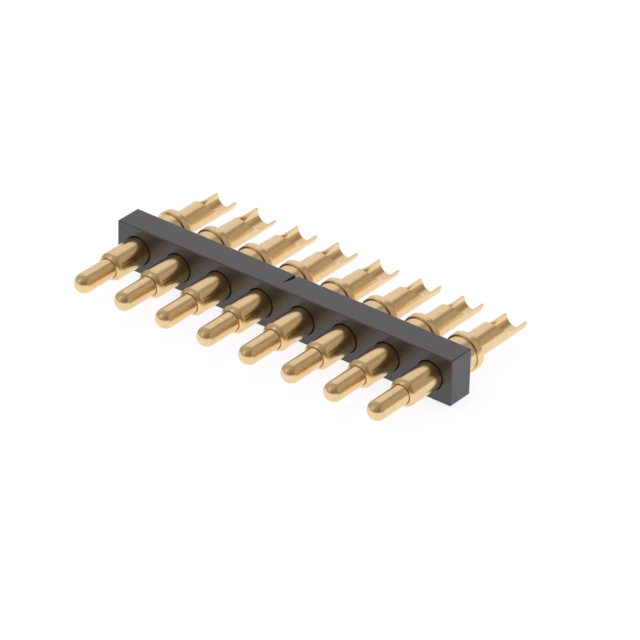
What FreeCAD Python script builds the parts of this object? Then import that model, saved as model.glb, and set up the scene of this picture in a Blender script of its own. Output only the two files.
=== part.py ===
import FreeCAD, Part
import math
import os

# A strip of spring contacts: one moulded bar that holds a row of turned contacts.
# Each contact is a barrel with a solder cup at its back, a coil spring inside the
# barrel, and a plunger whose head is held behind the barrel's rolled mouth.
#
# Millimetres. The origin is the centre of the bar's underside. X runs along the row,
# the plungers point towards -Y, the solder cups towards +Y, and Z is up.

# Row
contact_count = 8
contact_pitch = 2.54
end_margin = 1.27             # last contact's axis to the end of the bar

# Moulded bar
bar_thickness = 1.52
bar_height = 2.50
bar_edge_round = 0.06
hole_rim = 0.055              # countersunk ring round each barrel at the front face
hole_rim_depth = 0.10
notch_width = 0.20            # small moulded mark in the top face, open to the back
notch_depth = 0.14
notch_length = 1.05
notch_offset = -0.24          # from the middle of the row

# Plunger
tip_diameter = 1.02
tip_reach = 2.29              # barrel's mouth to the end of the nose
head_step = 0.06              # head beyond the tip, on the radius
head_length = 1.50

# Coil spring, at rest
wire_size = 0.12
coil_clearance = 0.07         # coil to the bore, on the radius
spring_length = 2.80
coil_turns = 4
closed_turns = 1              # at each end, wound close
closed_pitch = 0.14
steps_per_turn = 6

# Barrel, front sleeve
mouth_clearance = 0.02        # rolled mouth to the plunger's tip, on the radius
bore_clearance = 0.02         # bore to the plunger's head, on the radius
sleeve_wall = 0.14
sleeve_reach = 2.23           # bar's front face to the barrel's mouth
lip_length = 0.10             # outside of the rolled mouth
throat_length = 0.12          # inside of the rolled mouth

# Barrel, shoulder and flange behind the bar
shoulder_step = 0.18          # shoulder beyond the sleeve, on the radius
shoulder_length = 0.98
flange_step = 0.095           # flange beyond the shoulder, on the radius
flange_length = 0.42
neck_length = 0.30            # cone from the flange down to the solder cup

# Barrel, solder cup
cup_diameter = 1.30
cup_wall = 0.12
cup_length = 3.67             # behind the neck
cup_depth = 2.75
cup_side_height = 0.69        # from the cup's underside to its top cut
cup_flat_length = 0.84        # level part of the top cut
cup_cutter_radius = 1.60      # the round cutter leaves this curve at the front of the cut

# Radii of the contact, from the tip outwards
tip_radius = tip_diameter / 2
head_radius = tip_radius + head_step
mouth_radius = tip_radius + mouth_clearance
bore_radius = head_radius + bore_clearance
sleeve_radius = bore_radius + sleeve_wall
shoulder_radius = sleeve_radius + shoulder_step
flange_radius = shoulder_radius + flange_step
cup_radius = cup_diameter / 2

# Places along Y
bar_front = -bar_thickness / 2
bar_back = bar_thickness / 2
mouth_y = bar_front - sleeve_reach
nose_y = mouth_y - tip_reach
bore_front = mouth_y + throat_length
throat_slope = (bore_radius - mouth_radius) / throat_length
head_front = mouth_y + (head_radius - mouth_radius) / throat_slope
head_back = head_front + head_length
bore_floor = head_back + spring_length
flange_front = bar_back + shoulder_length
flange_back = flange_front + flange_length
neck_back = flange_back + neck_length
cup_back = neck_back + cup_length

# Places along X and Z
axis_height = bar_height / 2
row_length = (contact_count - 1) * contact_pitch


def turned(points):
    """Solid turned about the Y axis from a closed profile of radius and place along Y."""
    corners = [FreeCAD.Vector(radius, along, 0) for radius, along in points]
    face = Part.Face(Part.makePolygon(corners + corners[:1]))
    return face.revolve(FreeCAD.Vector(0, 0, 0), FreeCAD.Vector(0, 1, 0), 360)


def on_axis(shape, number):
    """Copy of a shape moved from the Y axis to a contact's axis, counted from 1."""
    along_row = (number - 1) * contact_pitch - row_length / 2
    moved = shape.copy()
    moved.translate(FreeCAD.Vector(along_row, 0, axis_height))
    return moved


def bar_blank():
    """Plain bar with its long edges rounded."""
    length = row_length + 2 * end_margin
    corner = FreeCAD.Vector(-length / 2, bar_front, 0)
    block = Part.makeBox(length, bar_thickness, bar_height, corner)
    long_edges = [edge for edge in block.Edges if edge.BoundBox.XLength > length / 2]
    return block.makeFillet(bar_edge_round, long_edges)


def contact_hole():
    """Hole that grips a barrel's sleeve, with a countersunk ring at the front."""
    return turned([
        (0, bar_front),
        (sleeve_radius + hole_rim, bar_front),
        (sleeve_radius, bar_front + hole_rim_depth),
        (sleeve_radius, bar_back),
        (0, bar_back),
    ])


def top_notch():
    """Wedge that runs out towards the front, cut into the bar's top face."""
    left = notch_offset - notch_width / 2
    corners = [
        FreeCAD.Vector(left, bar_back - notch_length, bar_height),
        FreeCAD.Vector(left, bar_back, bar_height - notch_depth),
        FreeCAD.Vector(left, bar_back, bar_height),
    ]
    face = Part.Face(Part.makePolygon(corners + corners[:1]))
    return face.extrude(FreeCAD.Vector(notch_width, 0, 0))


def insulator():
    """Bar with one hole for each contact and the mark in its top face."""
    bar = bar_blank()
    for number in range(1, contact_count + 1):
        bar = bar.cut(on_axis(contact_hole(), number))
    return bar.cut(top_notch())


def barrel_blank():
    """Outside of the barrel as it is turned, from the mouth to the solder cup."""
    return turned([
        (0, mouth_y),
        (mouth_radius, mouth_y),
        (sleeve_radius, mouth_y + lip_length),
        (sleeve_radius, bar_back),
        (shoulder_radius, bar_back),
        (shoulder_radius, flange_front),
        (flange_radius, flange_front),
        (flange_radius, flange_back),
        (cup_radius, neck_back),
        (cup_radius, cup_back),
        (0, cup_back),
    ])


def spring_bore():
    """Room for the plunger's head and the spring, narrowing to the rolled mouth."""
    return turned([
        (0, mouth_y),
        (mouth_radius, mouth_y),
        (bore_radius, bore_front),
        (bore_radius, bore_floor),
        (0, bore_floor),
    ])


def cup_bore():
    """Blind hole that takes the wire."""
    return turned([
        (0, cup_back - cup_depth),
        (cup_radius - cup_wall, cup_back - cup_depth),
        (cup_radius - cup_wall, cup_back),
        (0, cup_back),
    ])


def cup_scoop():
    """Path of the round cutter that opens the top of the solder cup."""
    side = 2 * cup_radius
    cut_z = cup_side_height - cup_radius
    centre_y = cup_back - cup_flat_length
    centre_z = cut_z + cup_cutter_radius
    cutter = Part.makeCylinder(
        cup_cutter_radius,
        2 * side,
        FreeCAD.Vector(-side, centre_y, centre_z),
        FreeCAD.Vector(1, 0, 0),
    )
    travel = Part.makeBox(
        2 * side,
        cup_flat_length + cup_radius,
        2 * cup_cutter_radius,
        FreeCAD.Vector(-side, centre_y, cut_z),
    )
    return cutter.fuse(travel)


def barrel():
    """Turned barrel with its spring bore and its open solder cup."""
    body = barrel_blank().cut(spring_bore())
    return body.cut(cup_bore()).cut(cup_scoop())


def plunger():
    """Round-nosed plunger with the head that stays behind the barrel's mouth."""
    body = turned([
        (0, nose_y + tip_radius),
        (tip_radius, nose_y + tip_radius),
        (tip_radius, head_front),
        (head_radius, head_front),
        (head_radius, head_back),
        (0, head_back),
    ])
    nose = Part.makeSphere(tip_radius, FreeCAD.Vector(0, nose_y + tip_radius, 0))
    return body.fuse(nose).removeSplitter()


def coil_rise(turn):
    """How far the wire has climbed after a number of turns, wound close at both ends."""
    open_turns = coil_turns - 2 * closed_turns
    open_rise = spring_length - wire_size - 2 * closed_turns * closed_pitch
    near = min(turn, closed_turns)
    far = max(turn - (coil_turns - closed_turns), 0)
    return (near + far) * closed_pitch + (turn - near - far) * open_rise / open_turns


def wire_section(turn):
    """Square section of the wire at a place along the coil."""
    outer = bore_radius - coil_clearance
    inner = outer - wire_size
    front = head_back + coil_rise(turn)
    back = front + wire_size
    angle = 2 * math.pi * turn
    points = [
        FreeCAD.Vector(radius * math.cos(angle), along, radius * math.sin(angle))
        for radius, along in ((outer, front), (outer, back), (inner, back), (inner, front))
    ]
    return Part.makePolygon(points + points[:1])


def spring():
    """Coil between the plunger's head and the floor of the bore, in short straight runs."""
    steps = coil_turns * steps_per_turn
    sections = [wire_section(step / steps_per_turn) for step in range(steps + 1)]
    return Part.makeLoft(sections, True, True)


def export(shape, node):
    """Write one piece to its own file."""
    shape.exportStep("parts/" + node + ".step")


def main():
    """Make every piece and write it."""
    os.makedirs("parts", exist_ok=True)
    export(insulator(), "insulator")
    pieces = {"barrel": barrel(), "plunger": plunger(), "spring": spring()}
    for number in range(1, contact_count + 1):
        for name, shape in pieces.items():
            export(on_axis(shape, number), name + "_" + str(number))


main()
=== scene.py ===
import math
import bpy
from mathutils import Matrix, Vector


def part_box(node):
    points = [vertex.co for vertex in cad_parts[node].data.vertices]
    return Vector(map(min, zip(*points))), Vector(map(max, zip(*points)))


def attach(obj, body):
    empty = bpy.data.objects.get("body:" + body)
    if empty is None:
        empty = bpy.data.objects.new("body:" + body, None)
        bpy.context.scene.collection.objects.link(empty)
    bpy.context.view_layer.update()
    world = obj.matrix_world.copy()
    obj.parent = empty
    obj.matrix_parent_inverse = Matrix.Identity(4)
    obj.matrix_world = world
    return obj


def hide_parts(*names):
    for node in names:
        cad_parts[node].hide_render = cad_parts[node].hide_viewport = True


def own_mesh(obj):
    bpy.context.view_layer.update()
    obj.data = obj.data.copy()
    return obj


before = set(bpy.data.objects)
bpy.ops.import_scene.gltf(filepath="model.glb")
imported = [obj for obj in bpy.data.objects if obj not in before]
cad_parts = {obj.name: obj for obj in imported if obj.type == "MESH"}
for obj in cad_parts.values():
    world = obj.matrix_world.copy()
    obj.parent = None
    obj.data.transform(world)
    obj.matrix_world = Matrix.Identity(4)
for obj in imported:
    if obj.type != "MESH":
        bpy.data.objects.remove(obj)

from types import SimpleNamespace

import bmesh
import bpy
from bpy.props import FloatProperty, FloatVectorProperty, IntProperty, PointerProperty
from mathutils import Matrix, Vector

bl_info = {
    "name": "Spring contact strip",
    "version": (1, 0, 0),
    "blender": (4, 5, 0),
    "location": "3D View > Sidebar > Contact strip",
    "description": "A strip of spring contacts in gold-plated brass, held by a moulded bar",
    "category": "Object",
}

# The frame is in metres. Pieces are modelled in millimetres, because edges this short
# can't be rounded in metres, and are brought to metres when they are finished.
MM = 0.001
# Barrels are pressed in without being lined up, so each cup sits turned by a few degrees.
CUP_TURNS = (4.6, 13.8, 4.1, 8.2, 7.3, -1.6, -1.2, 1.2)
CONTACTS = sum(name.startswith("barrel_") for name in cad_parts)
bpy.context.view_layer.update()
# Angle of a usual drill's point, which leaves a cone at the floor of the cup's hole.
DRILL_POINT = math.radians(118)
# Metres from the middle of the strip to each light.
LIGHT_DISTANCE = 1.2


# Colours and sizes

def linear(hex_code):
    """Linear colour of an sRGB hex value."""
    shares = [int(hex_code[place:place + 2], 16) / 255 for place in (1, 3, 5)]
    return tuple(s / 12.92 if s <= 0.04045 else ((s + 0.055) / 1.055) ** 2.4 for s in shares) + (1.0,)


def length(name, description, millimetres):
    """A length that a user can change."""
    return FloatProperty(
        name=name, description=description, default=millimetres * MM,
        min=0.0, precision=5, subtype="DISTANCE", unit="LENGTH",
    )


def colour(name, description, hex_code):
    """A colour that a user can change."""
    return FloatVectorProperty(
        name=name, description=description, default=linear(hex_code),
        min=0.0, max=1.0, size=4, subtype="COLOR",
    )


def strength(name, description, level):
    """A brightness that a user can change."""
    return FloatProperty(name=name, description=description, default=level, min=0.0)


class ContactSizes(bpy.types.PropertyGroup):
    """Sizes of one contact, which is a barrel, a plunger and a spring."""
    tip_radius: length("Tip radius", "Half the thickness of the plunger's tip", 0.51)
    head_edge: length("Head edge", "Rounding of the back edge of the plunger's head", 0.04)
    mouth_radius: length("Mouth radius", "Opening of the barrel's rolled mouth", 0.52)
    mouth_round: length("Mouth round", "Rounding inside the mouth", 0.03)
    lip_run: length("Lip run", "How far the rolled lip reaches along the sleeve", 0.28)
    throat: length("Throat", "Length of the cone behind the mouth", 0.12)
    bore_radius: length("Bore radius", "Room for the plunger's head and the spring", 0.59)
    sleeve_radius: length("Sleeve radius", "Outside of the barrel in front of the bar", 0.73)
    shoulder_radius: length("Shoulder radius", "Part that seats on the bar's back", 0.91)
    shoulder_length: length("Shoulder length", "From the bar's back to the flange", 0.98)
    flange_length: length("Flange length", "Thickness of the flange", 0.42)
    flange_round: length("Flange round", "Rounding of the flange's front edge", 0.085)
    neck_length: length("Neck length", "Cone from the flange to the cup", 0.30)
    neck_blend: length("Neck blend", "Soft corner between the cone and the cup", 0.08)
    cup_radius: length("Cup radius", "Outside of the solder cup", 0.65)
    cup_bore: length("Cup bore", "Radius of the hole that takes the wire", 0.53)
    cup_depth: length("Cup depth", "Depth of that hole to its drill cone", 2.75)
    cup_flat: length("Cup flat", "Level part of the cup's top cut", 0.84)
    cut_depth: length("Cut depth", "Level part of the top cut, below the cup's axis", 0.02)
    cutter_radius: length("Cutter radius", "Curve that the cutter leaves at the front of the cut", 1.60)
    cup_round: length("Cup round", "Rounding of the edges at the cup's end", 0.045)
    wire_radius: length("Wire radius", "Half the thickness of the spring's wire", 0.06)
    ring_steps: IntProperty(
        name="Ring steps", description="Faces round each turned piece", default=96, min=12,
    )


class BarSizes(bpy.types.PropertyGroup):
    """Sizes of the moulded bar."""
    edge_round: length("Edge round", "Rounding of the bar's outer edges", 0.06)
    rim_width: length("Rim width", "Countersunk ring round each barrel at the front", 0.055)
    rim_depth: length("Rim depth", "Depth of that ring", 0.10)
    notch_width: length("Notch width", "Width of the mark in the top face", 0.20)
    notch_depth: length("Notch depth", "Depth of the mark at the back face", 0.14)
    notch_length: length("Notch length", "How far the mark reaches in from the back face", 1.05)
    notch_offset: length("Notch offset", "How far the mark lies from the row's middle", 0.24)


class Finishes(bpy.types.PropertyGroup):
    """Colours of the finishes."""
    plastic: colour("Plastic", "Moulded bar", "#2E2C2C")
    plastic_light: colour("Plastic, light", "Lighter fleck in the bar", "#3B3939")
    gold: colour("Gold", "Plating where it is thickest", "#ECD09F")
    gold_deep: colour("Gold, deep", "Plating where it is thinner and redder", "#E7C994")
    steel: colour("Steel", "Spring wire", "#C9C6BF")
    floor: colour("Floor", "Pale floor", "#A3A3A3")
    room_dark: colour("Room, dark", "Room behind the camera and at the right", "#8C7F75")
    room_light: colour("Room, light", "Room at the left and overhead", "#BCB6B2")
    glow: colour("Floor glow", "Light that comes up through the floor", "#F8F9FF")
    cool_light: colour("Cool light", "Light of the left panels and of the top and side lights", "#EEF0FF")
    warm_light: colour("Warm light", "Light of the right panel and of the front light", "#FFF2E5")


class StageSettings(bpy.types.PropertyGroup):
    """Floor, lights and camera."""
    room: strength("Room", "Brightness of the room", 1.08)
    glow: strength("Floor glow", "Strength of the light from the floor", 0.85)
    panel: strength("Panel", "Brightness of the back left panel", 0.455)
    right: strength("Right panel", "Brightness of the right panel", 0.25)
    strip: strength("Strip light", "Brightness of the narrow panel at the front left", 0.43)
    top: strength("Top light", "Brightness of the soft light overhead", 0.4)
    side: strength("Side light", "Brightness of the soft light at the right", 0.3)
    front: strength("Front light", "Brightness of the soft light at the front left", 1.3)
    lens: FloatProperty(
        name="Lens", description="Focal length of the camera", default=274.94,
        min=1.0, subtype="DISTANCE_CAMERA", unit="CAMERA",
    )


def in_mm(group):
    """A group's lengths in millimetres, by name."""
    return SimpleNamespace(**{
        name: getattr(group, name) / MM
        for name, prop in group.bl_rna.properties.items()
        if getattr(prop, "unit", "NONE") == "LENGTH"
    })


def box_mm(node):
    """Lowest and highest corner of a node, in millimetres."""
    low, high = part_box(node)
    return low / MM, high / MM


def contact_axis(number):
    """Point on a contact's axis where Y is nought, in millimetres, counted from 1."""
    low, high = box_mm(f"barrel_{number}")
    bar_low, bar_high = box_mm("insulator")
    return Vector(((low.x + high.x) / 2, 0.0, (bar_low.z + bar_high.z) / 2))


# Modelling

def deselect_all():
    """Clear the selection, because an operator acts on all that is selected."""
    bpy.ops.object.select_all(action="DESELECT")


def make_active(piece):
    """Select one object alone and make it the active one."""
    deselect_all()
    piece.select_set(True)
    bpy.context.view_layer.objects.active = piece


def start_piece(name):
    """Name the primitive just added, put its place in its mesh and open it for editing."""
    piece = bpy.context.object
    piece.name = name
    piece.data.name = name
    bpy.ops.object.transform_apply(location=True, rotation=True, scale=True)
    bpy.ops.object.mode_set(mode="EDIT")
    bpy.ops.mesh.select_all(action="SELECT")
    return piece


def select_edges(piece, wanted):
    """In edit mode, select the edges that pass a test on their two ends."""
    bpy.ops.mesh.select_mode(type="EDGE")
    bpy.ops.mesh.select_all(action="DESELECT")
    mesh = bmesh.from_edit_mesh(piece.data)
    for edge in mesh.edges:
        if wanted(edge):
            edge.select_set(True)
    bmesh.update_edit_mesh(piece.data)


def turn(name, axis, outline, steps):
    """Closed turned piece: a disc pushed and scaled along its outline of place and radius."""
    place, radius = outline[0]
    deselect_all()
    bpy.ops.mesh.primitive_circle_add(
        vertices=steps, radius=radius, fill_type="TRIFAN",
        location=axis + Vector((0, place, 0)), rotation=(math.pi / 2, 0, 0),
    )
    piece = start_piece(name)
    for next_place, next_radius in outline[1:]:
        grow = next_radius / radius
        bpy.ops.mesh.extrude_region_move(TRANSFORM_OT_translate={"value": (0, next_place - place, 0)})
        bpy.ops.transform.resize(value=(grow, 1, grow), center_override=axis)
        place, radius = next_place, next_radius
    return piece


def move_centre(axis, distance, piece):
    """Push the middle of the last disc along the axis, which makes it a cone."""
    bpy.ops.mesh.select_mode(type="VERT")
    mesh = bmesh.from_edit_mesh(piece.data)
    chosen = [v for v in mesh.verts if v.select and math.hypot(v.co.x - axis.x, v.co.z - axis.z) < 1e-4]
    bpy.ops.mesh.select_all(action="DESELECT")
    for vertex in chosen:
        vertex.select_set(True)
    bmesh.update_edit_mesh(piece.data)
    bpy.ops.transform.translate(value=(0, distance, 0))


def round_ring(piece, axis, place, radius, width, segments):
    """Round one turned edge, picked by its place along the axis and its radius."""
    def on_ring(edge):
        return all(
            abs(v.co.y - place) < 1e-3
            and abs(math.hypot(v.co.x - axis.x, v.co.z - axis.z) - radius) < 1e-3
            for v in edge.verts
        )
    select_edges(piece, on_ring)
    bpy.ops.mesh.bevel(offset=width, offset_type="OFFSET", segments=segments, affect="EDGES")


def rolled_arc(place, low_radius, high_radius, run, steps):
    """Points of a rolled edge that starts as a steep cone and ends along the axis."""
    start = math.radians(40)
    angles = [start + (math.pi / 2 - start) * step / steps for step in range(steps + 1)]
    rise = (high_radius - low_radius) / (1 - math.sin(start))
    reach = run / math.cos(start)
    return [
        (place + reach * (math.cos(start) - math.cos(a)), high_radius - rise * (1 - math.sin(a)))
        for a in angles
    ]


def cut_away(piece, cutter):
    """Cut one object out of another and throw the cutter away."""
    make_active(piece)
    cut = piece.modifiers.new("cut", "BOOLEAN")
    cut.operation = "DIFFERENCE"
    cut.solver = "EXACT"
    cut.object = cutter
    bpy.ops.object.modifier_apply(modifier=cut.name)
    mesh = cutter.data
    bpy.data.objects.remove(cutter)
    bpy.data.meshes.remove(mesh)


def finish_mesh(piece, sharp_angle):
    """Merge doubles, turn the faces outwards, shade the piece and bring it to metres."""
    make_active(piece)
    bpy.ops.object.mode_set(mode="EDIT")
    bpy.ops.mesh.select_all(action="SELECT")
    bpy.ops.mesh.remove_doubles(threshold=1e-5)
    bpy.ops.mesh.normals_make_consistent(inside=False)
    bpy.ops.object.mode_set(mode="OBJECT")
    piece.scale = (MM, MM, MM)
    bpy.ops.object.transform_apply(location=False, rotation=False, scale=True)
    bpy.ops.object.shade_smooth_by_angle(angle=sharp_angle)
    weighted = piece.modifiers.new("even flats", "WEIGHTED_NORMAL")
    weighted.keep_sharp = True
    bpy.ops.object.modifier_apply(modifier=weighted.name)


def copy_for(piece, number, name):
    """Copy of the first contact's piece, with its own mesh, on another contact's axis."""
    copy = piece.copy()
    copy.data = piece.data.copy()
    copy.name = name
    copy.data.name = name
    copy.data.transform(Matrix.Translation((contact_axis(number) - contact_axis(1)) * MM))
    bpy.context.scene.collection.objects.link(copy)
    return copy


def row_of(first, name):
    """The first contact's piece and its copies, one for each contact, before they are handed over."""
    return [first] + [copy_for(first, number, f"{name}_{number}") for number in range(2, CONTACTS + 1)]


def turn_on_axis(piece, number, degrees):
    """Turn a finished piece about its contact's axis, clockwise as seen from its tip."""
    axis = contact_axis(number) * MM
    spin = Matrix.Rotation(math.radians(degrees), 4, "Y")
    piece.data.transform(Matrix.Translation(axis) @ spin @ Matrix.Translation(-axis))


def hand_over(piece, material, body, slot, *nodes):
    """Give a piece its finish and its body, and hide the nodes that it stands for."""
    piece.data.materials.clear()
    piece.data.materials.append(material)
    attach(piece, body)
    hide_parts(*nodes)


# Finishes

def add_node(owner, kind, settings=None, links=None):
    """Add a shader node, set its values and join its inputs to other nodes' outputs."""
    tree = owner.node_tree
    node = tree.nodes.new(kind)
    for name, value in (settings or {}).items():
        if name in node.inputs:
            node.inputs[name].default_value = value
        else:
            setattr(node, name, value)
    for name, output in (links or {}).items():
        tree.links.new(output, node.inputs[name])
    return node


def start_material(name):
    """An empty node material."""
    material = bpy.data.materials.new(name)
    material.use_nodes = True
    material.node_tree.nodes.clear()
    return material


def gold_plated_brass(finishes):
    """Brass, turned and then plated with gold: a satin mirror that is warm where it mirrors white,
    with faint turning rings and a slight haze that changes from place to place."""
    ring_spacing = 0.03 * MM
    haze_size = 0.35 * MM
    grain_size = 0.012 * MM
    material = start_material("gold_plated_brass")
    place = add_node(material, "ShaderNodeTexCoord").outputs["Object"]
    rings_place = add_node(
        material, "ShaderNodeMapping", {"Scale": (0.0, 1 / ring_spacing, 0.0)}, {"Vector": place},
    ).outputs["Vector"]
    rings = add_node(
        material, "ShaderNodeTexNoise", {"Scale": 1.0, "Detail": 2.0}, {"Vector": rings_place},
    ).outputs["Fac"]
    haze = add_node(
        material, "ShaderNodeTexNoise", {"Scale": 1 / haze_size, "Detail": 3.0}, {"Vector": place},
    ).outputs["Fac"]
    grain = add_node(
        material, "ShaderNodeTexNoise", {"Scale": 1 / grain_size, "Detail": 2.0}, {"Vector": place},
    ).outputs["Fac"]
    tone = add_node(material, "ShaderNodeValToRGB", None, {"Fac": haze})
    tone.color_ramp.elements[0].position = 0.35
    tone.color_ramp.elements[0].color = finishes.gold_deep
    tone.color_ramp.elements[1].position = 0.65
    tone.color_ramp.elements[1].color = finishes.gold
    roughness = add_node(
        material, "ShaderNodeMapRange", {"To Min": 0.18, "To Max": 0.27}, {"Value": haze},
    ).outputs["Result"]
    turned = add_node(
        material, "ShaderNodeBump", {"Strength": 0.25, "Distance": 0.0010 * MM}, {"Height": rings},
    ).outputs["Normal"]
    plated = add_node(
        material, "ShaderNodeBump", {"Strength": 0.2, "Distance": 0.0006 * MM},
        {"Height": grain, "Normal": turned},
    ).outputs["Normal"]
    shader = add_node(
        material, "ShaderNodeBsdfPrincipled", {"Metallic": 1.0},
        {"Base Color": tone.outputs["Color"], "Roughness": roughness, "Normal": plated},
    )
    add_node(material, "ShaderNodeOutputMaterial", None, {"Surface": shader.outputs["BSDF"]})
    return material


def moulded_nylon(finishes):
    """Black glass-filled nylon, moulded in a smooth tool: a dark grey with fine lighter flecks,
    and a low sheen that softly mirrors what stands near it."""
    grain_size = 0.05 * MM
    fleck_size = 0.09 * MM
    flow_size = 2.5 * MM
    material = start_material("moulded_black_nylon")
    place = add_node(material, "ShaderNodeTexCoord").outputs["Object"]
    grain = add_node(
        material, "ShaderNodeTexNoise", {"Scale": 1 / grain_size, "Detail": 3.0}, {"Vector": place},
    ).outputs["Fac"]
    fleck = add_node(
        material, "ShaderNodeTexNoise", {"Scale": 1 / fleck_size, "Detail": 5.0, "Roughness": 0.7},
        {"Vector": place},
    ).outputs["Fac"]
    flow = add_node(
        material, "ShaderNodeTexNoise", {"Scale": 1 / flow_size, "Detail": 2.0, "Distortion": 0.6},
        {"Vector": place},
    ).outputs["Fac"]
    tone = add_node(material, "ShaderNodeValToRGB", None, {"Fac": fleck})
    tone.color_ramp.elements[0].position = 0.38
    tone.color_ramp.elements[0].color = finishes.plastic
    tone.color_ramp.elements[1].position = 0.72
    tone.color_ramp.elements[1].color = finishes.plastic_light
    roughness = add_node(
        material, "ShaderNodeMapRange", {"To Min": 0.24, "To Max": 0.31}, {"Value": flow},
    ).outputs["Result"]
    skin = add_node(
        material, "ShaderNodeBump", {"Strength": 0.5, "Distance": 0.006 * MM}, {"Height": grain},
    ).outputs["Normal"]
    shader = add_node(
        material, "ShaderNodeBsdfPrincipled", {"IOR": 1.68},
        {"Base Color": tone.outputs["Color"], "Roughness": roughness, "Normal": skin},
    )
    add_node(material, "ShaderNodeOutputMaterial", None, {"Surface": shader.outputs["BSDF"]})
    return material


def spring_steel(finishes):
    """Spring steel, drawn to wire and coiled: a bright, slightly streaked grey metal."""
    streak_size = 0.03 * MM
    material = start_material("drawn_spring_steel")
    place = add_node(material, "ShaderNodeTexCoord").outputs["Object"]
    streak = add_node(
        material, "ShaderNodeTexNoise", {"Scale": 1 / streak_size, "Detail": 3.0}, {"Vector": place},
    ).outputs["Fac"]
    roughness = add_node(
        material, "ShaderNodeMapRange", {"To Min": 0.22, "To Max": 0.38}, {"Value": streak},
    ).outputs["Result"]
    drawn = add_node(
        material, "ShaderNodeBump", {"Strength": 0.3, "Distance": 0.0015 * MM}, {"Height": streak},
    ).outputs["Normal"]
    shader = add_node(
        material, "ShaderNodeBsdfPrincipled", {"Metallic": 1.0, "Base Color": finishes.steel},
        {"Roughness": roughness, "Normal": drawn},
    )
    add_node(material, "ShaderNodeOutputMaterial", None, {"Surface": shader.outputs["BSDF"]})
    return material


def opal_acrylic(finishes):
    """Opal acrylic sheet, cast and lit from below: an even pale white that hardly shows a shadow."""
    cloud_size = 9.0 * MM
    material = start_material("opal_acrylic")
    place = add_node(material, "ShaderNodeTexCoord").outputs["Object"]
    cloud = add_node(
        material, "ShaderNodeTexNoise", {"Scale": 1 / cloud_size, "Detail": 2.0}, {"Vector": place},
    ).outputs["Fac"]
    roughness = add_node(
        material, "ShaderNodeMapRange", {"To Min": 0.70, "To Max": 0.80}, {"Value": cloud},
    ).outputs["Result"]
    shader = add_node(
        material, "ShaderNodeBsdfPrincipled",
        {
            "Base Color": finishes.floor, "Specular IOR Level": 0.1,
            "Emission Color": finishes.glow,
            "Emission Strength": bpy.context.scene.strip_stage.glow,
        },
        {"Roughness": roughness},
    )
    add_node(material, "ShaderNodeOutputMaterial", None, {"Surface": shader.outputs["BSDF"]})
    return material


def finish_named(name, make, context):
    """A finish by its name, made the first time that a piece asks for it."""
    return bpy.data.materials.get(name) or make(context.scene.strip_finishes)


# Pieces

def bar_block(sizes):
    """The bar as moulded, with all its outer edges rounded."""
    low, high = box_mm("insulator")
    deselect_all()
    bpy.ops.mesh.primitive_cube_add(size=1, location=(low + high) / 2, scale=high - low)
    piece = start_piece("moulded_bar")
    bpy.ops.mesh.bevel(offset=sizes.edge_round, offset_type="OFFSET", segments=4, affect="EDGES")
    bpy.ops.object.mode_set(mode="OBJECT")
    return piece


def hole_cutter(number, sizes, contact, steps):
    """Turned cutter for one hole, flared where the hole meets the front face."""
    low, high = box_mm("insulator")
    margin = 0.5
    rim_radius = contact.sleeve_radius + sizes.rim_width
    cutter = turn("hole_cutter", contact_axis(number), [
        (low.y - margin, rim_radius),
        (low.y, rim_radius),
        (low.y + sizes.rim_depth, contact.sleeve_radius),
        (high.y + margin, contact.sleeve_radius),
    ], steps)
    bpy.ops.mesh.select_all(action="SELECT")
    bpy.ops.mesh.normals_make_consistent(inside=False)
    bpy.ops.object.mode_set(mode="OBJECT")
    return cutter


def notch_cutter(sizes):
    """Wedge for the mark in the top face, deepest at the back."""
    low, high = box_mm("insulator")
    margin = 0.2
    slope = sizes.notch_depth / sizes.notch_length
    reach = sizes.notch_length + 2 * margin
    deselect_all()
    bpy.ops.mesh.primitive_cube_add(
        size=1,
        location=(-sizes.notch_offset, high.y + margin - reach / 2, high.z + sizes.notch_depth / 2),
        scale=(sizes.notch_width, reach, sizes.notch_depth),
    )
    cutter = start_piece("notch_cutter")
    mesh = bmesh.from_edit_mesh(cutter.data)
    for vertex in mesh.verts:
        if vertex.co.z < high.z + sizes.notch_depth / 2:
            behind_start = vertex.co.y - (high.y - sizes.notch_length)
            vertex.co.z = high.z - slope * behind_start
    bmesh.update_edit_mesh(cutter.data)
    bpy.ops.object.mode_set(mode="OBJECT")
    return cutter


def barrel_places(contact):
    """Places along the first barrel's axis, and the radius of its flange."""
    low, high = box_mm("barrel_1")
    bar_back = box_mm("insulator")[1].y
    flange_front = bar_back + contact.shoulder_length
    flange_back = flange_front + contact.flange_length
    return SimpleNamespace(
        mouth=low.y,
        bore_floor=box_mm("spring_1")[1].y,
        bar_back=bar_back,
        flange_front=flange_front,
        flange_back=flange_back,
        neck_back=flange_back + contact.neck_length,
        end=high.y,
        flange_radius=(high.x - low.x) / 2,
    )


def barrel_outline(contact, places):
    """Outline of the barrel from its spring bore's floor, round the outside, to its cup's floor."""
    lip_start = contact.mouth_radius + contact.mouth_round
    quarter = math.pi / 2
    mouth_steps = 4
    mouth_edge = [
        (
            places.mouth + contact.mouth_round * (1 - math.sin(quarter * step / mouth_steps)),
            lip_start - contact.mouth_round * math.cos(quarter * step / mouth_steps),
        )
        for step in range(mouth_steps)
    ]
    return [
        (places.bore_floor, contact.bore_radius),
        (places.mouth + contact.throat, contact.bore_radius),
        *mouth_edge,
        *rolled_arc(places.mouth, lip_start, contact.sleeve_radius, contact.lip_run, 8),
        (places.bar_back, contact.sleeve_radius),
        (places.bar_back, contact.shoulder_radius),
        (places.flange_front, contact.shoulder_radius),
        (places.flange_front, places.flange_radius),
        (places.flange_back, places.flange_radius),
        (places.neck_back, contact.cup_radius),
        (places.end, contact.cup_radius),
        (places.end, contact.cup_bore),
        (places.end - contact.cup_depth, contact.cup_bore),
    ]


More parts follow.
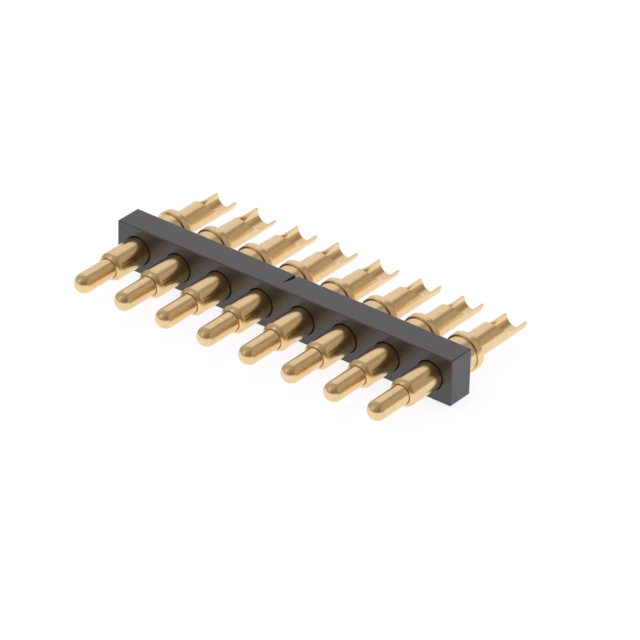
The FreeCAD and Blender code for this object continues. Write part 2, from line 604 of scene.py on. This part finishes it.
def turned_barrel(contact, steps):
    """The barrel as it leaves the lathe, before its cup is opened."""
    axis = contact_axis(1)
    places = barrel_places(contact)
    piece = turn("gold_barrel_1", axis, barrel_outline(contact, places), steps)
    drill_cone = contact.cup_bore / math.tan(DRILL_POINT / 2)
    move_centre(axis, -drill_cone, piece)
    for place, radius, width, segments in (
        (places.bar_back, contact.shoulder_radius, contact.flange_round / 3, 2),
        (places.flange_front, places.flange_radius, contact.flange_round, 4),
        (places.flange_back, places.flange_radius, contact.flange_round / 4, 2),
        (places.neck_back, contact.cup_radius, contact.neck_blend, 6),
        (places.end, contact.cup_radius, contact.cup_round, 3),
        (places.end, contact.cup_bore, contact.cup_round, 3),
    ):
        round_ring(piece, axis, place, radius, width, segments)
    bpy.ops.object.mode_set(mode="OBJECT")
    return piece


def cup_cutter(contact):
    """Round cutter drawn back along the cup, which leaves a curved start and a level flat."""
    axis = contact_axis(1)
    high = box_mm("barrel_1")[1]
    margin = 1.0
    steps = 192
    centre_y = high.y - contact.cup_flat
    deselect_all()
    bpy.ops.mesh.primitive_cylinder_add(
        vertices=steps, radius=contact.cutter_radius, depth=4 * contact.cup_radius,
        location=(axis.x, centre_y, axis.z - contact.cut_depth + contact.cutter_radius),
        rotation=(0, math.pi / 2, 0),
    )
    cutter = start_piece("cup_cutter")
    bpy.ops.mesh.select_mode(type="VERT")
    bpy.ops.mesh.select_all(action="DESELECT")
    mesh = bmesh.from_edit_mesh(cutter.data)
    for vertex in mesh.verts:
        if vertex.co.y > centre_y + 1e-3:
            vertex.select_set(True)
    bmesh.update_edit_mesh(cutter.data)
    bpy.ops.transform.translate(value=(0, contact.cup_flat + margin, 0))
    bpy.ops.object.mode_set(mode="OBJECT")
    return cutter


def plunger_outline(contact):
    """Outline of the plunger from the end of its nose to the back of its head."""
    low, high = box_mm("plunger_1")
    mouth = box_mm("barrel_1")[0].y
    head_radius = (high.x - low.x) / 2
    throat_slope = (contact.bore_radius - contact.mouth_radius) / contact.throat
    head_front = mouth + (head_radius - contact.mouth_radius) / throat_slope
    # The nose ends in a flat too small to see, where the turning tool stops.
    start = math.radians(6)
    steps = 16
    angles = [start + (math.pi / 2 - start) * step / steps for step in range(steps + 1)]
    nose = [
        (low.y + contact.tip_radius * (1 - math.cos(a)), contact.tip_radius * math.sin(a))
        for a in angles
    ]
    return nose + [
        (head_front, contact.tip_radius),
        (head_front, head_radius),
        (high.y, head_radius),
    ]


def turned_plunger(contact, steps):
    """The plunger with its round nose and its head."""
    axis = contact_axis(1)
    low, high = box_mm("plunger_1")
    piece = turn("gold_plunger_1", axis, plunger_outline(contact), steps)
    round_ring(piece, axis, high.y, (high.x - low.x) / 2, contact.head_edge, 3)
    bpy.ops.object.mode_set(mode="OBJECT")
    return piece


def coiled_spring(contact):
    """Round wire drawn along a coil that is wound close at both ends."""
    axis = contact_axis(1)
    low, high = box_mm("spring_1")
    turns = 8
    closed = 1
    steps = 24
    coil_radius = (high.x - low.x) / 2 - contact.wire_radius
    # The turns at both ends all but touch each other.
    closed_pitch = 2.1 * contact.wire_radius
    span = high.y - low.y - 2 * contact.wire_radius
    open_pitch = (span - 2 * closed * closed_pitch) / (turns - 2 * closed)
    deselect_all()
    bpy.ops.mesh.primitive_circle_add(
        vertices=10, radius=contact.wire_radius, fill_type="TRIFAN",
        location=axis + Vector((coil_radius, low.y + contact.wire_radius, 0)),
    )
    piece = start_piece("wire_spring_1")
    for step in range(turns * steps):
        near_end = step < closed * steps or step >= (turns - closed) * steps
        rise = (closed_pitch if near_end else open_pitch) / steps
        bpy.ops.mesh.extrude_region_move(TRANSFORM_OT_translate={"value": (0, rise, 0)})
        bpy.ops.transform.rotate(value=math.tau / steps, orient_axis="Y", center_override=axis)
    bpy.ops.object.mode_set(mode="OBJECT")
    return piece


# Operators

class CONTACT_STRIP_OT_bar(bpy.types.Operator):
    """Make the moulded bar"""
    bl_idname = "contact_strip.bar"
    bl_label = "Moulded bar"

    def execute(self, context):
        sizes = in_mm(context.scene.strip_bar)
        contact = in_mm(context.scene.strip_contact)
        steps = context.scene.strip_contact.ring_steps
        piece = bar_block(sizes)
        for number in range(1, CONTACTS + 1):
            cut_away(piece, hole_cutter(number, sizes, contact, steps))
        cut_away(piece, notch_cutter(sizes))
        finish_mesh(piece, math.radians(40))
        material = finish_named("moulded_black_nylon", moulded_nylon, context)
        hand_over(piece, material, "strip", "insulator_plastic", "insulator")
        return {"FINISHED"}


class CONTACT_STRIP_OT_barrels(bpy.types.Operator):
    """Make the gold-plated barrels with their solder cups"""
    bl_idname = "contact_strip.barrels"
    bl_label = "Barrels"

    def execute(self, context):
        contact = in_mm(context.scene.strip_contact)
        first = turned_barrel(contact, context.scene.strip_contact.ring_steps)
        cut_away(first, cup_cutter(contact))
        finish_mesh(first, math.radians(40))
        material = finish_named("gold_plated_brass", gold_plated_brass, context)
        pieces = row_of(first, "gold_barrel")
        for number, (piece, degrees) in enumerate(zip(pieces, CUP_TURNS), 1):
            turn_on_axis(piece, number, degrees)
            hand_over(piece, material, "strip", "barrel_gold", f"barrel_{number}")
        return {"FINISHED"}


class CONTACT_STRIP_OT_plungers(bpy.types.Operator):
    """Make the round-nosed plungers"""
    bl_idname = "contact_strip.plungers"
    bl_label = "Plungers"

    def execute(self, context):
        contact = in_mm(context.scene.strip_contact)
        first = turned_plunger(contact, context.scene.strip_contact.ring_steps)
        finish_mesh(first, math.radians(40))
        material = finish_named("gold_plated_brass", gold_plated_brass, context)
        for number, piece in enumerate(row_of(first, "gold_plunger"), 1):
            hand_over(piece, material, f"plunger_{number}", "plunger_gold", f"plunger_{number}")
        return {"FINISHED"}


class CONTACT_STRIP_OT_springs(bpy.types.Operator):
    """Make the coil springs inside the barrels"""
    bl_idname = "contact_strip.springs"
    bl_label = "Springs"

    def execute(self, context):
        contact = in_mm(context.scene.strip_contact)
        first = coiled_spring(contact)
        finish_mesh(first, math.radians(60))
        material = finish_named("drawn_spring_steel", spring_steel, context)
        for number, piece in enumerate(row_of(first, "wire_spring"), 1):
            hand_over(piece, material, "strip", "spring_steel", f"spring_{number}")
            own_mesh(piece)
        return {"FINISHED"}


def panel_light(name, place, width, height, brightness, tint):
    """Flat panel light that faces the middle, as bright as asked when it is mirrored."""
    deselect_all()
    bpy.ops.object.light_add(type="AREA", location=place)
    light = bpy.context.object
    light.name = name
    light.data.shape = "RECTANGLE"
    light.data.size = width
    light.data.size_y = height
    light.data.color = tint[:3]
    light.data.energy = brightness * math.pi * width * height
    light.rotation_euler = place.to_track_quat("Z", "Y").to_euler()
    light.visible_camera = False
    return light


def upright_panel(name, sides, heights, brightness, tint):
    """Upright panel that covers a range of azimuths and elevations, in degrees, seen from the strip.
    Azimuths count from straight ahead of the plungers towards the right."""
    middle = math.radians(sum(sides) / 2)
    spread = math.radians(sides[1] - sides[0]) / 2
    bottom, top = (LIGHT_DISTANCE * math.tan(math.radians(angle)) for angle in heights)
    place = Vector((math.sin(middle), -math.cos(middle), 0.0)) * LIGHT_DISTANCE
    width = 2 * LIGHT_DISTANCE * math.tan(spread)
    light = panel_light(name, place, width, top - bottom, brightness, tint)
    light.location.z = (bottom + top) / 2
    return light


class CONTACT_STRIP_OT_stage(bpy.types.Operator):
    """Make the pale floor, the soft lights and the camera"""
    bl_idname = "contact_strip.stage"
    bl_label = "Stage"

    def execute(self, context):
        settings = context.scene.strip_stage
        self.make_floor(context)
        self.make_room(context, settings)
        self.make_lights(context, settings)
        self.make_camera(context, settings)
        return {"FINISHED"}

    def make_floor(self, context):
        """A wide sheet of opal acrylic under the bar."""
        deselect_all()
        bpy.ops.mesh.primitive_plane_add(size=6.0)
        floor = start_piece("floor")
        bpy.ops.mesh.subdivide(number_cuts=3)
        bpy.ops.object.mode_set(mode="OBJECT")
        floor.data.materials.append(finish_named("opal_acrylic", opal_acrylic, context))

    def make_room(self, context, settings):
        """A softly lit room that is brightest at the left and overhead, and dark behind the camera."""
        finishes = context.scene.strip_finishes
        room = bpy.data.worlds.new("soft_room")
        room.use_nodes = True
        room.node_tree.nodes.clear()
        brightest = (-0.8, 0.0, 0.6)
        direction = add_node(room, "ShaderNodeTexCoord").outputs["Generated"]
        towards = add_node(
            room, "ShaderNodeVectorMath", {"operation": "DOT_PRODUCT"}, {"Vector": direction},
        )
        towards.inputs[1].default_value = brightest
        share = add_node(
            room, "ShaderNodeMapRange", {"From Min": -1.0, "From Max": 1.0},
            {"Value": towards.outputs["Value"]},
        ).outputs["Result"]
        walls = add_node(room, "ShaderNodeValToRGB", None, {"Fac": share})
        walls.color_ramp.elements[0].position = 0.45
        walls.color_ramp.elements[0].color = finishes.room_dark
        walls.color_ramp.elements[1].position = 0.80
        walls.color_ramp.elements[1].color = finishes.room_light
        shade = add_node(
            room, "ShaderNodeBackground", {"Strength": settings.room}, {"Color": walls.outputs["Color"]},
        )
        add_node(room, "ShaderNodeOutputWorld", None, {"Surface": shade.outputs["Background"]})
        context.scene.world = room

    def make_lights(self, context, settings):
        """Upright panels that the gold mirrors, and soft light on the bar from three sides."""
        finishes = context.scene.strip_finishes
        soft_width = 1.2
        upright_panel("back_left_panel", (180, 230), (2, 60), settings.panel, finishes.cool_light)
        upright_panel("left_panel", (230, 252), (2, 58), settings.panel * 0.4, finishes.cool_light)
        upright_panel("right_panel", (78, 154), (2, 52), settings.right, finishes.warm_light)
        upright_panel("strip_panel", (-45, -20), (18, 56), settings.strip, finishes.cool_light)
        for name, direction, brightness, tint in (
            ("top_light", (0.0, 0.0, 1.0), settings.top, finishes.cool_light),
            ("side_light", (1.0, -0.1, 0.35), settings.side, finishes.cool_light),
            ("front_light", (-0.7, -0.7, 0.1), settings.front, finishes.warm_light),
        ):
            place = Vector(direction).normalized() * LIGHT_DISTANCE
            light = panel_light(name, place, soft_width, soft_width, brightness, tint)
            light.visible_glossy = False

    def make_camera(self, context, settings):
        """A long lens from the front right and above, as in the photograph."""
        azimuth = math.radians(37.258)
        elevation = math.radians(31.134)
        roll = math.radians(1.551)
        distance = 232.87 * MM
        target = Vector((1.788, 0.0, 1.135)) * MM
        turn_to = (
            Matrix.Rotation(azimuth, 4, "Z")
            @ Matrix.Rotation(math.pi / 2 - elevation, 4, "X")
            @ Matrix.Rotation(roll, 4, "Z")
        )
        back = turn_to @ Vector((0, 0, 1))
        deselect_all()
        bpy.ops.object.camera_add()
        camera = context.object
        camera.matrix_world = Matrix.Translation(target + back * distance) @ turn_to
        camera.data.lens = settings.lens
        camera.data.clip_start = 0.01
        camera.data.clip_end = 20.0
        context.scene.camera = camera
        context.scene.view_settings.view_transform = "Standard"


class CONTACT_STRIP_PT_panel(bpy.types.Panel):
    """Lists the sizes, the finishes and the steps that make the strip"""
    bl_idname = "CONTACT_STRIP_PT_panel"
    bl_label = "Contact strip"
    bl_space_type = "VIEW_3D"
    bl_region_type = "UI"
    bl_category = "Contact strip"

    def draw(self, context):
        layout = self.layout
        for group in (
            context.scene.strip_contact, context.scene.strip_bar,
            context.scene.strip_finishes, context.scene.strip_stage,
        ):
            box = layout.box()
            for name in group.__annotations__:
                box.prop(group, name)
        for step in STEPS:
            layout.operator(step.bl_idname)


STEPS = (
    CONTACT_STRIP_OT_bar,
    CONTACT_STRIP_OT_barrels,
    CONTACT_STRIP_OT_plungers,
    CONTACT_STRIP_OT_springs,
    CONTACT_STRIP_OT_stage,
)
GROUPS = {
    "strip_contact": ContactSizes,
    "strip_bar": BarSizes,
    "strip_finishes": Finishes,
    "strip_stage": StageSettings,
}


def register():
    """Register the classes and hang the settings on the scene."""
    for group in GROUPS.values():
        bpy.utils.register_class(group)
    for name, group in GROUPS.items():
        setattr(bpy.types.Scene, name, PointerProperty(type=group))
    for step in STEPS:
        bpy.utils.register_class(step)
    bpy.utils.register_class(CONTACT_STRIP_PT_panel)


def unregister():
    """Take the classes and the settings away again."""
    bpy.utils.unregister_class(CONTACT_STRIP_PT_panel)
    for step in reversed(STEPS):
        bpy.utils.unregister_class(step)
    for name in GROUPS:
        delattr(bpy.types.Scene, name)
    for group in reversed(GROUPS.values()):
        bpy.utils.unregister_class(group)


def main():
    """Make the whole scene."""
    register()
    bpy.ops.contact_strip.bar()
    bpy.ops.contact_strip.barrels()
    bpy.ops.contact_strip.plungers()
    bpy.ops.contact_strip.springs()
    bpy.ops.contact_strip.stage()


if __name__ == "__main__":
    main()
